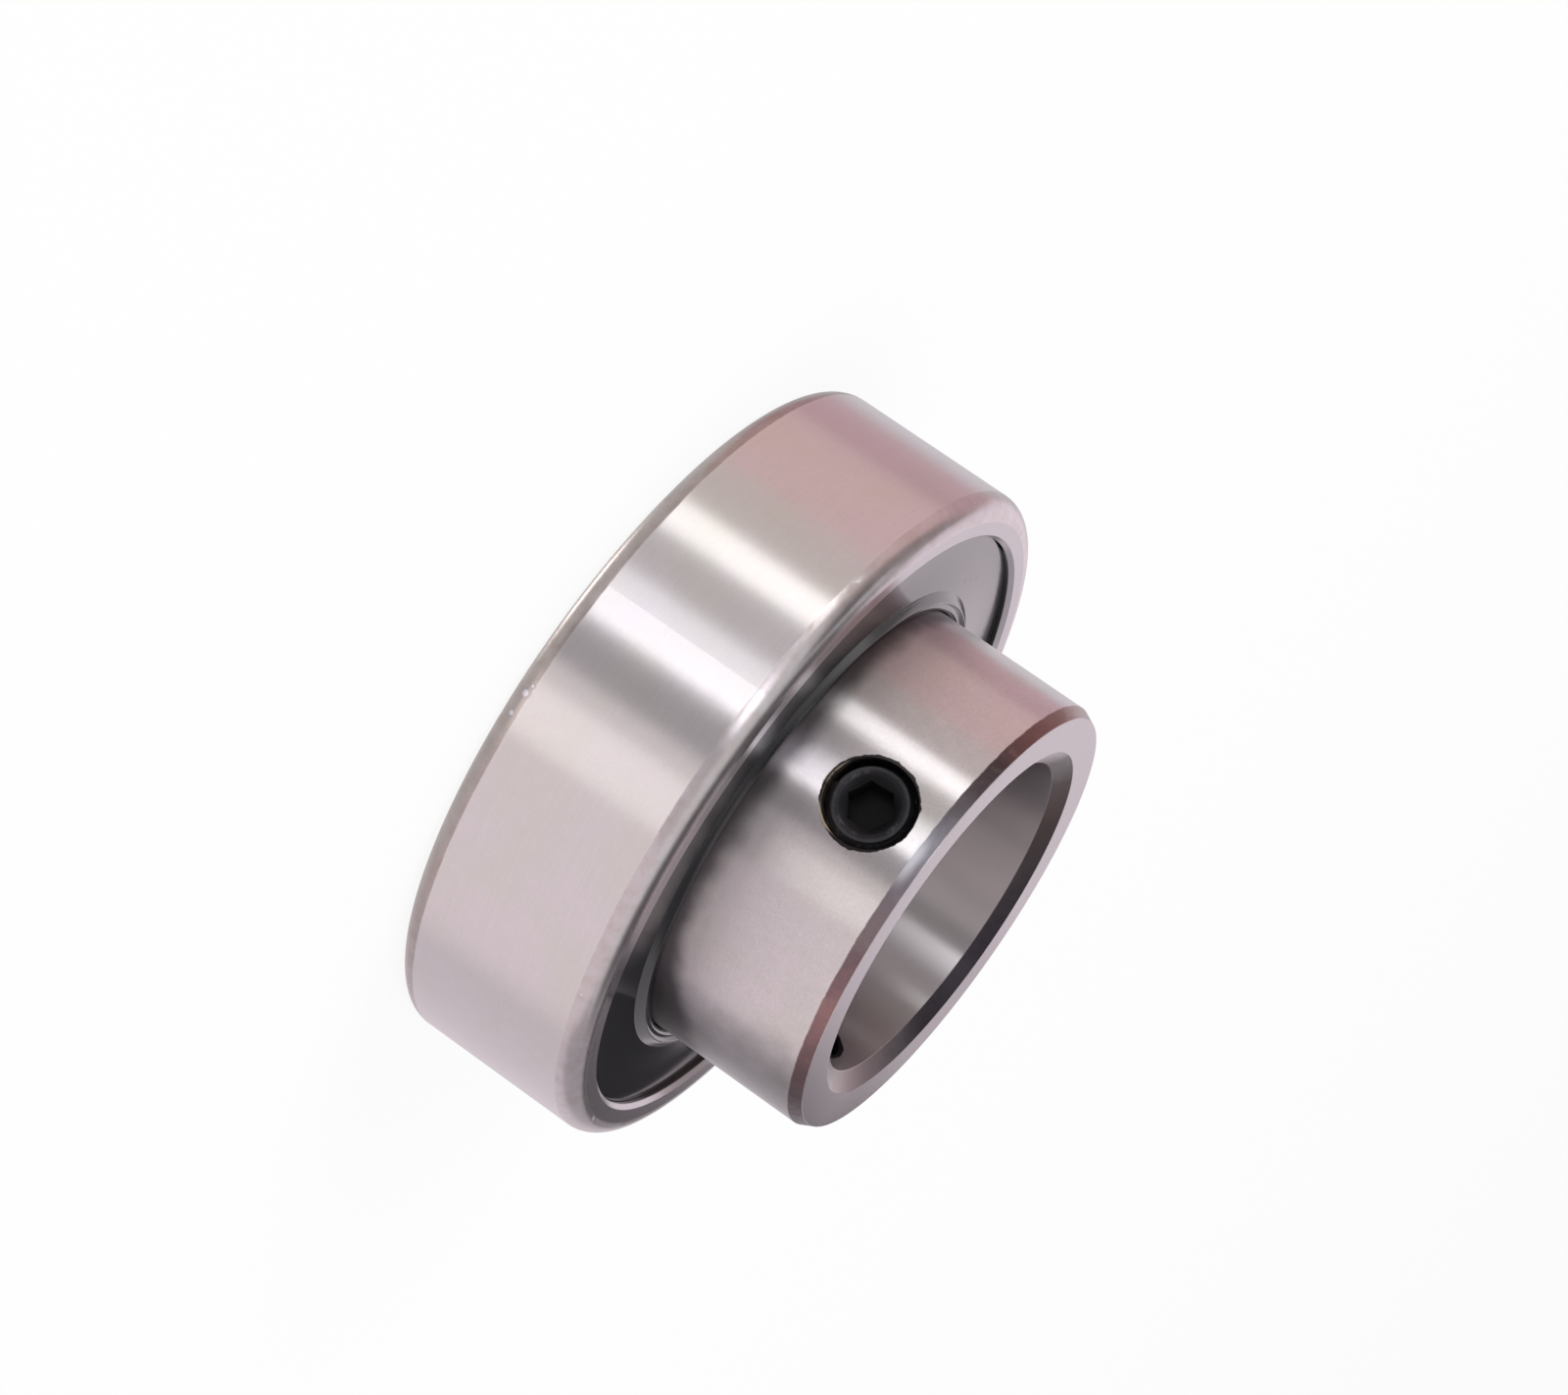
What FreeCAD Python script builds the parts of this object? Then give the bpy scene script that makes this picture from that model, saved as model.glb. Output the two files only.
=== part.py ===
import FreeCAD, Part
import math
import os
import Sketcher

# Insert bearing with a cylindrical outer ring, an extended inner ring that two set
# screws hold on its shaft, nine balls in a riveted ribbon cage and two rubber seals.
# The axis is Z, the extended end is up, and the origin is on the axis in the middle
# of the outer ring. Sizes are in millimetres and degrees.

doc = FreeCAD.newDocument("InsertBearing")
sheet = doc.addObject("Spreadsheet::Sheet", "Sizes")

drivingSizes = {
    # across the bearing, from the shaft outwards
    "boreDiameter": 25.0,
    "collarWall": 4.5,
    "shoulderGap": 5.05,
    "ringWall": 3.95,
    # along the axis, from the middle of the balls outwards
    "ballDiameter": 7.938,
    "pocketGap": 0.12,
    "cageThickness": 0.8,
    "cageToSeal": 0.611,
    "sealThickness": 1.4,
    "sealSink": 0.6,
    "collarReach": 12.0,
    # raceways, balls and cage
    "ballCount": 9,
    "ballClearance": 0.05,
    "innerGrooveRatio": 0.52,
    "outerGrooveRatio": 0.53,
    "cageSideGap": 1.05,
    "rivetDiameter": 1.2,
    "rivetGap": 0.02,
    "rivetHeadDiameter": 1.9,
    "rivetHeadHeight": 0.45,
    # edges of the rings
    "rimRadius": 1.5,
    "mouthChamfer": 0.3,
    "shoulderChamfer": 0.25,
    "collarChamferRise": 0.45,
    "collarChamferDepth": 0.9,
    "boreChamferRise": 1.35,
    "boreChamferDepth": 0.8,
    "backEdgeRadius": 0.6,
    "backBoreChamfer": 0.8,
    # seals and the grooves that they snap into
    "recessStep": 1.05,
    "undercutDepth": 0.4,
    "undercutHeight": 0.85,
    "undercutSlope": 0.25,
    "rimGap": 0.04,
    "rimRound": 0.2,
    "beadWidth": 1.7,
    "beadHeight": 0.3,
    "lipGap": 0.05,
    "lipDrop": 0.5,
    "lipUndercut": 0.5,
    # set screws and their holes
    "screwDiameter": 6.0,
    "screwSetback": 5.35,
    "screwAngle": 120.0,
    "screwSink": 0.45,
    "tipGap": 0.05,
    "threadGap": 0.05,
    "holeMouthRise": 0.35,
    "holeMouthDepth": 0.75,
    "faceChamferRise": 0.28,
    "faceChamferDepth": 0.3,
    "pointChamfer": 0.9,
    "cupDiameter": 3.0,
    "cupDepth": 0.6,
    "keySize": 3.0,
    "socketDepth": 2.0,
    "socketAngle": -4.0,
}
for row, (alias, value) in enumerate(drivingSizes.items(), start=1):
    sheet.set(f"A{row}", alias)
    sheet.set(f"B{row}", str(value))
    sheet.setAlias(f"B{row}", alias)
doc.recompute()


def size(alias):
    return f"Sizes.{alias}"


# Places that follow from the driving sizes
boreRadius = f"({size('boreDiameter')} / 2)"
collarRadius = f"({boreRadius} + {size('collarWall')})"
shoulderRadius = f"({collarRadius} + {size('shoulderGap')})"
ringRadius = f"({shoulderRadius} + {size('ringWall')})"
pitchRadius = f"(({collarRadius} + {shoulderRadius}) / 2)"
ballRadius = f"({size('ballDiameter')} / 2)"
pocketRadius = f"({ballRadius} + {size('pocketGap')})"
domeRadius = f"({pocketRadius} + {size('cageThickness')})"
sealFloor = f"({domeRadius} + {size('cageToSeal')})"
sealFace = f"({sealFloor} + {size('sealThickness')})"
ringFace = f"({sealFace} + {size('sealSink')})"
collarEnd = f"({ringFace} + {size('collarReach')})"
recessRadius = f"({shoulderRadius} + {size('recessStep')})"
cageInner = f"({collarRadius} + {size('cageSideGap')})"
cageOuter = f"({shoulderRadius} - {size('cageSideGap')})"
screwHeight = f"({collarEnd} - {size('screwSetback')})"
holeRadius = f"({size('screwDiameter')} / 2)"
screwRadius = f"({holeRadius} - {size('threadGap')})"
screwTip = f"({boreRadius} + {size('tipGap')})"
screwFace = f"({collarRadius} - {size('screwSink')})"
zero = "0"


def number(expression):
    return float(sheet.evalExpression(expression))


def originFeature(body, role):
    for feature in body.Origin.OriginFeatures:
        if feature.Role == role:
            return feature
    raise ValueError(role)


# A sketch on one of the body's own planes, moved by three expressions
def addSketch(body, name, plane, offset=(zero, zero, zero)):
    sketch = body.newObject("Sketcher::SketchObject", name)
    sketch.AttachmentSupport = [(originFeature(body, plane), "")]
    sketch.MapMode = "FlatFace"
    for letter, expression in zip("xyz", offset):
        if expression != zero:
            sketch.setExpression(f".AttachmentOffset.Base.{letter}", expression)
    return sketch


def bindSize(sketch, constraint, name, expression):
    index = sketch.addConstraint(constraint)
    sketch.renameConstraint(index, name)
    sketch.setExpression(f"Constraints.{name}", expression)


# The arc from start to end whose centre lies to the left (side 1) or right (side -1)
def arcBetween(start, end, radius, side):
    chord = end - start
    left = FreeCAD.Vector(-chord.y, chord.x, 0).normalize()
    rise = math.sqrt(max(radius ** 2 - (chord.Length / 2) ** 2, 0))
    centre = (start + end) / 2 + left * rise * side
    angles = [math.atan2(point.y - centre.y, point.x - centre.x) for point in (start, end)]
    if side < 0:
        angles.reverse()
    return Part.ArcOfCircle(Part.Circle(centre, FreeCAD.Vector(0, 0, 1), radius), *angles)


# A closed outline whose corners are pairs of expressions. arcs gives, for each corner
# that an arc starts at, the arc's radius and the side on which its centre lies.
def addOutline(sketch, corners, arcs=None, label="corner"):
    arcs = arcs or {}
    count = len(corners)
    first = sketch.GeometryCount
    points = [FreeCAD.Vector(number(across), number(along), 0) for across, along in corners]
    ends = []
    for index, start in enumerate(points):
        end = points[(index + 1) % count]
        if index in arcs:
            radius, side = arcs[index]
            sketch.addGeometry(arcBetween(start, end, number(radius), side))
        else:
            side = 1
            sketch.addGeometry(Part.LineSegment(start, end))
        ends.append((1, 2) if side > 0 else (2, 1))
    for index in range(count):
        after = (index + 1) % count
        joint = (first + index, ends[index][1], first + after, ends[after][0])
        sketch.addConstraint(Sketcher.Constraint("Coincident", *joint))
    for index, (across, along) in enumerate(corners):
        place = (-1, 1, first + index, ends[index][0])
        distance = Sketcher.Constraint("DistanceX", *place, points[index].x)
        bindSize(sketch, distance, f"{label}{index}Across", across)
        distance = Sketcher.Constraint("DistanceY", *place, points[index].y)
        bindSize(sketch, distance, f"{label}{index}Along", along)
    for index, (radius, side) in arcs.items():
        bend = Sketcher.Constraint("Radius", first + index, number(radius))
        bindSize(sketch, bend, f"{label}{index}Radius", radius)


def addCircle(sketch, across, along, radius):
    centre = FreeCAD.Vector(number(across), number(along), 0)
    index = sketch.addGeometry(Part.Circle(centre, FreeCAD.Vector(0, 0, 1), number(radius)))
    place = (-1, 1, index, 3)
    bindSize(sketch, Sketcher.Constraint("DistanceX", *place, centre.x), "centreAcross", across)
    bindSize(sketch, Sketcher.Constraint("DistanceY", *place, centre.y), "centreAlong", along)
    bindSize(sketch, Sketcher.Constraint("Radius", index, number(radius)), "radius", radius)


def newBody(name):
    body = doc.addObject("PartDesign::Body", name)
    body.Label = name
    return body


# Revolution or Groove of a sketch about one of its own axes
def turn(body, kind, name, sketch, axis="V_Axis"):
    feature = body.newObject(f"PartDesign::{kind}", name)
    feature.Profile = sketch
    feature.ReferenceAxis = (sketch, [axis])
    feature.Angle = 360
    sketch.Visibility = False
    doc.recompute()
    return feature


def repeatAround(body, name, feature, occurrences, angle="360"):
    pattern = body.newObject("PartDesign::PolarPattern", name)
    pattern.Originals = [feature]
    pattern.Axis = (originFeature(body, "Z_Axis"), [""])
    pattern.setExpression("Angle", angle)
    pattern.setExpression("Occurrences", occurrences)
    body.Tip = pattern
    doc.recompute()
    return pattern


def checkCut(body, before, name):
    if body.Shape.Volume >= before - 1e-3:
        raise RuntimeError(f"{name} removed nothing")


def grooveRadius(ratio):
    return f"({size('ballDiameter')} * {size(ratio)})"


# Half the width of a raceway groove where it meets the shoulder at a given radius
def grooveHalfWidth(radius, centre, shoulder):
    return f"sqrt({radius} * {radius} - ({shoulder} - {centre}) * ({shoulder} - {centre}))"


# Outer ring: cylindrical seat, rounded rims, a deep groove and two seal recesses
def makeOuterRing():
    body = newBody("outer_ring")
    radius = grooveRadius("outerGrooveRatio")
    centre = f"({pitchRadius} + {ballRadius} + {size('ballClearance')} - {radius})"
    half = grooveHalfWidth(radius, centre, shoulderRadius)
    land = f"({shoulderRadius} + {size('shoulderChamfer')})"
    mouth = f"({recessRadius} + {size('mouthChamfer')})"
    undercut = f"({recessRadius} + {size('undercutDepth')})"
    undercutTop = f"({sealFloor} + {size('undercutHeight')})"
    upper = [
        (f"{ringRadius}", f"{ringFace} - {size('rimRadius')}"),
        (f"{ringRadius} - {size('rimRadius')}", ringFace),
        (mouth, ringFace),
        (recessRadius, f"{ringFace} - {size('mouthChamfer')}"),
        (recessRadius, f"{undercutTop} + {size('undercutSlope')}"),
        (undercut, undercutTop),
        (undercut, sealFloor),
        (land, sealFloor),
        (shoulderRadius, f"{sealFloor} - {size('shoulderChamfer')}"),
        (shoulderRadius, half),
    ]
    lower = [(across, f"-({along})") for across, along in reversed(upper)]
    corners = upper + lower
    rim = size("rimRadius")
    arcs = {
        0: (rim, 1),
        len(upper) - 1: (radius, -1),
        len(corners) - 2: (rim, 1),
    }
    sketch = addSketch(body, "outer_ring_section", "XZ_Plane")
    addOutline(sketch, corners, arcs)
    turn(body, "Revolution", "outer_ring_turned", sketch)
    return body


# Inner ring: bore, raceway, long collar and two tapped holes for the set screws
def makeInnerRing():
    body = newBody("inner_ring")
    radius = grooveRadius("innerGrooveRatio")
    centre = f"({pitchRadius} - {ballRadius} - {size('ballClearance')} + {radius})"
    half = grooveHalfWidth(radius, centre, collarRadius)
    corners = [
        (boreRadius, f"{size('backBoreChamfer')} - {ringFace}"),
        (f"{boreRadius} + {size('backBoreChamfer')}", f"-{ringFace}"),
        (f"{collarRadius} - {size('backEdgeRadius')}", f"-{ringFace}"),
        (collarRadius, f"{size('backEdgeRadius')} - {ringFace}"),
        (collarRadius, f"-{half}"),
        (collarRadius, half),
        (collarRadius, f"{collarEnd} - {size('collarChamferDepth')}"),
        (f"{collarRadius} - {size('collarChamferRise')}", collarEnd),
        (f"{boreRadius} + {size('boreChamferRise')}", collarEnd),
        (boreRadius, f"{collarEnd} - {size('boreChamferDepth')}"),
    ]
    arcs = {2: (size("backEdgeRadius"), 1), 4: (radius, -1)}
    # the turned faces start at this plane, clear of both screw holes
    sketch = addSketch(body, "inner_ring_section", "YZ_Plane")
    addOutline(sketch, corners, arcs)
    turn(body, "Revolution", "inner_ring_turned", sketch)

    beyond = f"({collarRadius} + {size('collarWall')})"
    rise = size("holeMouthRise")
    depth = size("holeMouthDepth")
    mouthRadius = f"({holeRadius} + {rise})"
    mouthCurve = f"(({rise} * {rise} + {depth} * {depth}) / (2 * {rise}))"
    hole = [
        (f"{boreRadius} / 2", zero),
        (f"{boreRadius} / 2", holeRadius),
        (f"{collarRadius} - {depth}", holeRadius),
        (collarRadius, mouthRadius),
        (beyond, mouthRadius),
        (beyond, zero),
    ]
    sketch = addSketch(body, "screw_hole_section", "XZ_Plane", (zero, screwHeight, zero))
    addOutline(sketch, hole, {2: (mouthCurve, 1)})
    before = body.Shape.Volume
    groove = turn(body, "Groove", "screw_hole", sketch, "H_Axis")
    repeatAround(body, "screw_holes", groove, "2", size("screwAngle"))
    checkCut(body, before, "screw_holes")
    return body


# Ball: one node each, spread evenly over the pitch circle
def makeBall(index):
    ball = doc.addObject("Part::Sphere", f"ball_{index + 1}")
    ball.Label = f"ball_{index + 1}"
    ball.setExpression("Radius", ballRadius)
    angle = f"(360 * {index} / {size('ballCount')})"
    ball.setExpression(".Placement.Base.x", f"{pitchRadius} * cos({angle})")
    ball.setExpression(".Placement.Base.y", f"{pitchRadius} * sin({angle})")
    return ball


# Cage half: a pressed ribbon whose domed pockets hold the balls, flat between them,
# where rivets join it to the other half
def makeCageHalf():
    body = newBody("cage_front")
    strip = [
        (cageInner, zero),
        (cageOuter, zero),
        (cageOuter, size("cageThickness")),
        (cageInner, size("cageThickness")),
    ]
    sketch = addSketch(body, "cage_strip_section", "XZ_Plane")
    addOutline(sketch, strip)
    turn(body, "Revolution", "cage_strip", sketch)

    overBall = (pitchRadius, zero, zero)
    dome = [(zero, zero), (domeRadius, zero), (zero, domeRadius)]
    sketch = addSketch(body, "dome_section", "XZ_Plane", overBall)
    addOutline(sketch, dome, {1: (domeRadius, 1)})
    domed = turn(body, "Revolution", "dome", sketch)
    repeatAround(body, "domes", domed, size("ballCount"))

    top = f"({domeRadius} + {size('cageThickness')})"
    sides = [
        [(zero, zero), (cageInner, zero), (cageInner, top), (zero, top)],
        [
            (cageOuter, zero),
            (f"{pitchRadius} + {top}", zero),
            (f"{pitchRadius} + {top}", top),
            (cageOuter, top),
        ],
    ]
    before = body.Shape.Volume
    for outline, name in zip(sides, ("cage_inner_trim", "cage_outer_trim")):
        sketch = addSketch(body, f"{name}_section", "XZ_Plane")
        addOutline(sketch, outline)
        turn(body, "Groove", name, sketch)
        checkCut(body, before, name)
        before = body.Shape.Volume

    pocket = [(zero, zero), (pocketRadius, zero), (zero, pocketRadius)]
    sketch = addSketch(body, "pocket_section", "XZ_Plane", overBall)
    addOutline(sketch, pocket, {1: (pocketRadius, 1)})
    pocketed = turn(body, "Groove", "pocket", sketch)
    repeatAround(body, "pockets", pocketed, size("ballCount"))
    checkCut(body, before, "pockets")

    before = body.Shape.Volume
    holeSize = f"({size('rivetDiameter')} / 2 + {size('rivetGap')})"
    sketch = addSketch(body, "rivet_hole_place", "XY_Plane")
    addCircle(sketch, *betweenBalls(), holeSize)
    hole = body.newObject("PartDesign::Pocket", "rivet_hole")
    hole.Profile = sketch
    hole.Type = "ThroughAll"
    hole.Midplane = True
    doc.recompute()
    repeatAround(body, "rivet_holes", hole, size("ballCount"))
    checkCut(body, before, "rivet_holes")
    return body


# The point on the pitch circle half way between the first two balls
def betweenBalls():
    angle = f"(180 / {size('ballCount')})"
    return (f"{pitchRadius} * cos({angle})", f"{pitchRadius} * sin({angle})")


# Rivets: one node, a round-headed rivet in each flat of the ribbon
def makeRivets():
    body = newBody("cage_rivets")
    body.AllowCompound = True
    shank = f"({size('rivetDiameter')} / 2)"
    head = f"({size('rivetHeadDiameter')} / 2)"
    seat = size("cageThickness")
    height = size("rivetHeadHeight")
    crown = f"({seat} + {height})"
    curve = f"(({head} * {head} + {height} * {height}) / (2 * {height}))"
    corners = [
        (zero, f"-{crown}"),
        (head, f"-{seat}"),
        (shank, f"-{seat}"),
        (shank, seat),
        (head, seat),
        (zero, crown),
    ]
    across, along = betweenBalls()
    sketch = addSketch(body, "rivet_section", "XZ_Plane", (across, zero, f"-{along}"))
    addOutline(sketch, corners, {0: (curve, 1), 4: (curve, 1)})
    rivet = turn(body, "Revolution", "rivet", sketch)
    repeatAround(body, "rivets", rivet, size("ballCount"))
    return body


# Seal: a moulded disc with a snap-in rim, a flat face and a rounded bead whose lip
# runs close round the collar
def makeSeal():
    body = newBody("front_seal")
    rim = f"({recessRadius} - {size('rimGap')})"
    edge = size("rimRound")
    snap = f"({recessRadius} + {size('undercutDepth')} - {size('rimGap')})"
    snapTop = f"({sealFloor} + {size('undercutHeight')} - {size('rimGap')})"
    lip = f"({collarRadius} + {size('lipGap')})"
    beadEdge = f"({collarRadius} + {size('beadWidth')})"
    beadTop = f"({sealFace} + {size('beadHeight')})"
    beadMiddle = f"(({lip} + {beadEdge}) / 2)"
    half = f"(({beadEdge} - {lip}) / 2)"
    rise = size("beadHeight")
    curve = f"(({half} * {half} + {rise} * {rise}) / (2 * {rise}))"
    corners = [
        (f"{lip} + {size('lipUndercut')}", sealFloor),
        (snap, sealFloor),
        (snap, snapTop),
        (rim, f"{snapTop} + {size('undercutSlope')}"),
        (rim, f"{sealFace} - {edge}"),
        (f"{rim} - {edge}", sealFace),
        (beadEdge, sealFace),
        (beadMiddle, beadTop),
        (lip, sealFace),
        (lip, f"{sealFace} - {size('lipDrop')}"),
    ]
    arcs = {4: (edge, 1), 6: (curve, 1), 7: (curve, 1)}
    sketch = addSketch(body, "front_seal_section", "XZ_Plane")
    addOutline(sketch, corners, arcs)
    turn(body, "Revolution", "front_seal_moulded", sketch)
    return body


# The same piece turned over to the other side of the balls
def mirrorPiece(source, name):
    mirrored = doc.addObject("Part::Mirroring", name)
    mirrored.Label = name
    mirrored.Source = source
    mirrored.Base = FreeCAD.Vector(0, 0, 0)
    mirrored.Normal = FreeCAD.Vector(0, 0, 1)
    return mirrored


# Set screw: cup point against the shaft, hexagon socket in the outer end
def makeSetScrew(index):
    body = newBody(f"set_screw_{index + 1}")
    corners = [
        (f"{screwTip} + {size('cupDepth')}", zero),
        (screwTip, f"{size('cupDiameter')} / 2"),
        (screwTip, f"{screwRadius} - {size('pointChamfer')}"),
        (f"{screwTip} + {size('pointChamfer')}", screwRadius),
        (f"{screwFace} - {size('faceChamferDepth')}", screwRadius),
        (screwFace, f"{screwRadius} - {size('faceChamferRise')}"),
        (screwFace, zero),
    ]
    onAxis = (zero, screwHeight, zero)
    sketch = addSketch(body, f"screw_{index + 1}_section", "XZ_Plane", onAxis)
    addOutline(sketch, corners)
    turn(body, "Revolution", f"screw_{index + 1}_turned", sketch, "H_Axis")

    sides = 6
    reach = f"({size('keySize')} / sqrt(3))"
    hexagon = []
    for side in range(sides):
        angle = f"(360 * {side} / {sides} + {size('socketAngle')})"
        hexagon.append((f"{reach} * sin({angle})", f"{reach} * cos({angle})"))
    sketch = addSketch(body, f"socket_{index + 1}_outline", "YZ_Plane", (zero, screwHeight, screwFace))
    addOutline(sketch, hexagon)
    before = body.Shape.Volume
    socket = body.newObject("PartDesign::Pocket", f"socket_{index + 1}")
    socket.Profile = sketch
    socket.setExpression("Length", size("socketDepth"))
    doc.recompute()
    checkCut(body, before, "socket")
    body.setExpression(".Placement.Rotation.Angle", f"{index} * {size('screwAngle')}")
    return body


pieces = [makeOuterRing(), makeInnerRing()]
pieces += [makeBall(index) for index in range(int(number(size("ballCount"))))]
cageFront = makeCageHalf()
frontSeal = makeSeal()
pieces += [cageFront, mirrorPiece(cageFront, "cage_back"), makeRivets()]
pieces += [frontSeal, mirrorPiece(frontSeal, "back_seal")]
pieces += [makeSetScrew(index) for index in range(2)]
doc.recompute()

for item in doc.Objects:
    if "Invalid" in item.State or "Error" in item.State:
        raise RuntimeError(f"{item.Label}: {item.State}")
    if item.TypeId == "Sketcher::SketchObject" and not item.FullyConstrained:
        raise RuntimeError(f"{item.Label} is not fully constrained")
for piece in pieces:
    if piece.Shape.isNull() or not piece.Shape.isValid():
        raise RuntimeError(f"{piece.Label} has no valid shape")

os.makedirs("parts", exist_ok=True)
for piece in pieces:
    piece.Shape.exportStep(f"parts/{piece.Label}.step")
    box = piece.Shape.BoundBox
    print(f"{piece.Label}: {piece.Shape.Volume:.1f} mm3, Z {box.ZMin:.2f} to {box.ZMax:.2f}")
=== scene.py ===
import math

import bmesh
import bpy
from mathutils import Matrix, Vector


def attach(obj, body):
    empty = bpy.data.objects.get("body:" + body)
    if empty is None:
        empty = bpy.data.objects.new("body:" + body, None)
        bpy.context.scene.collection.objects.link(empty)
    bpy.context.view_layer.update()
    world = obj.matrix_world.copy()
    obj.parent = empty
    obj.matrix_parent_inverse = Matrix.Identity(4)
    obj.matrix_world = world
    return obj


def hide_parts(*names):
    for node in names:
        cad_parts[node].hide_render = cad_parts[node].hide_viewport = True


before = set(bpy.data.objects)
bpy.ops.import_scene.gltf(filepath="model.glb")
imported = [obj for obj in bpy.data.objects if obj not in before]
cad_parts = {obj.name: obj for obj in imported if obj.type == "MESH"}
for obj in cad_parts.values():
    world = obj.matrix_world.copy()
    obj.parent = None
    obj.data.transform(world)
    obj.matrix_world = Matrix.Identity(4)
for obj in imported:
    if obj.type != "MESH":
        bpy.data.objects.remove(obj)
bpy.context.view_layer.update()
print("stage 1: CAD pieces loaded")

millimetre = 0.001  # shapes and materials are set in millimetres, the frame is in metres
plainWhite = (1.0, 1.0, 1.0, 1.0)
hoopLines = {"around": 0.12, "across": 9.0, "slant": 1.3}  # how ground lines are stretched
highlightTurn = 0.25  # a quarter turn lays the highlight across the lines
markCore = 0.5  # how far out a small mark is full, as a share of its reach
farSide = 50.0  # added to a hole's distance on the other side of the ring

# small helpers for node trees


def startMaterial(name):
    material = bpy.data.materials.new(name)
    material.use_nodes = True
    material.node_tree.nodes.clear()
    return material, material.node_tree


def addNode(tree, kind, inputs=None, **settings):
    made = tree.nodes.new(kind)
    for key, value in settings.items():
        setattr(made, key, value)
    for key, value in (inputs or {}).items():
        if isinstance(value, bpy.types.NodeSocket):
            tree.links.new(value, made.inputs[key])
        else:
            made.inputs[key].default_value = value
    return made


def calc(tree, operation, first, second=0.0, third=0.0):
    inputs = {0: first, 1: second, 2: third}
    return addNode(tree, "ShaderNodeMath", inputs, operation=operation).outputs[0]


def both(tree, first, second):
    return calc(tree, "MULTIPLY", first, second)


def either(tree, first, second):
    return calc(tree, "MAXIMUM", first, second)


def total(tree, first, second):
    return calc(tree, "ADD", first, second)


def swing(tree, value, reach, base):  # base, moved by value, which lies round one half
    return calc(tree, "MULTIPLY_ADD", calc(tree, "SUBTRACT", value, 0.5), reach, base)


def rise(tree, value, low, high):  # 0 below low, 1 above high, smooth between
    inputs = {"Value": value, "From Min": low, "From Max": high}
    made = addNode(tree, "ShaderNodeMapRange", inputs, interpolation_type="SMOOTHSTEP")
    return made.outputs[0]


def fall(tree, value, low, high):
    return calc(tree, "SUBTRACT", 1.0, rise(tree, value, low, high))


def band(tree, value, start, full, fades, end):  # 1 between full and fades
    return both(tree, rise(tree, value, start, full), fall(tree, value, fades, end))


def arc(tree, turn, degrees):
    return band(tree, turn, *(math.radians(mark) for mark in degrees))


def spread(tree, value, low, high):  # 0 to 1 becomes low to high
    inputs = {"Value": value, "To Min": low, "To Max": high}
    return addNode(tree, "ShaderNodeMapRange", inputs).outputs[0]


def blendColor(tree, factor, first, second):
    inputs = {0: factor, 6: first, 7: second}
    return addNode(tree, "ShaderNodeMix", inputs, data_type="RGBA").outputs[2]


def blendNumber(tree, factor, first, second):
    inputs = {0: factor, 2: first, 3: second}
    return addNode(tree, "ShaderNodeMix", inputs, data_type="FLOAT").outputs[0]


def brighten(tree, value, color):
    inputs = {"Value": value, "Color": color}
    return addNode(tree, "ShaderNodeHueSaturation", inputs).outputs[0]


def colorRamp(tree, value, stops):
    ramp = addNode(tree, "ShaderNodeValToRGB", {0: value})
    marks = ramp.color_ramp.elements
    marks.remove(marks[0])
    marks[0].position = stops[0][0]
    marks[0].color = rgba(stops[0][1])
    for place, color in stops[1:]:
        marks.new(place).color = rgba(color)
    return ramp.outputs[0]


def noise(tree, vector, scale, detail, rough):
    inputs = {"Vector": vector, "Scale": scale, "Detail": detail, "Roughness": rough}
    return addNode(tree, "ShaderNodeTexNoise", inputs).outputs[0]


def distance(tree, place, spot):
    inputs = {0: place, 1: spot}
    made = addNode(tree, "ShaderNodeVectorMath", inputs, operation="DISTANCE")
    return made.outputs[1]


def bumpNormal(tree, height, strength, depth):
    inputs = {"Height": height, "Strength": strength, "Distance": depth}
    return addNode(tree, "ShaderNodeBump", inputs).outputs[0]


def rgba(color):
    return (*color, 1.0)


def ringPlaces(tree):  # object coordinates in millimetres, and what is read from them
    spot = addNode(tree, "ShaderNodeTexCoord").outputs["Object"]
    inputs = {0: spot, "Scale": 1.0 / millimetre}
    place = addNode(tree, "ShaderNodeVectorMath", inputs, operation="SCALE").outputs[0]
    x, y, z = addNode(tree, "ShaderNodeSeparateXYZ", {0: place}).outputs
    radius = calc(tree, "SQRT", total(tree, both(tree, x, x), both(tree, y, y)))
    across = calc(tree, "MULTIPLY_ADD", radius, hoopLines["slant"], z)
    lines = addNode(tree, "ShaderNodeCombineXYZ", {
        0: both(tree, x, hoopLines["around"]),
        1: both(tree, y, hoopLines["around"]),
        2: both(tree, across, hoopLines["across"]),
    })
    hoop = addNode(tree, "ShaderNodeCombineXYZ", {0: both(tree, y, -1.0), 1: x})
    tangent = addNode(
        tree, "ShaderNodeVectorTransform", {0: hoop.outputs[0]},
        vector_type="VECTOR", convert_from="OBJECT", convert_to="WORLD",
    )
    return {
        "place": place, "x": x, "y": y, "z": z, "radius": radius,
        "lines": lines.outputs[0], "tangent": tangent.outputs[0],
    }


def groundTone(tree, look, lines, cloud, grain, mottle):  # ground steel before wear and tints
    warm = rise(tree, cloud, *look["warmCloud"])
    ground = blendColor(tree, warm, rgba(look["groundColor"]), rgba(look["groundWarm"]))
    shine = both(
        tree, spread(tree, lines, *look["linesShine"]), spread(tree, grain, *look["grainShine"])
    )
    shine = both(tree, shine, spread(tree, mottle, *look["mottleShine"]))
    return brighten(tree, shine, ground)


def finishMaterial(tree, shader):
    out = addNode(tree, "ShaderNodeOutputMaterial")
    tree.links.new(shader.outputs[0], out.inputs["Surface"])


def finishPrincipled(tree, inputs):
    finishMaterial(tree, addNode(tree, "ShaderNodeBsdfPrincipled", inputs))


# small helpers for pieces


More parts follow.
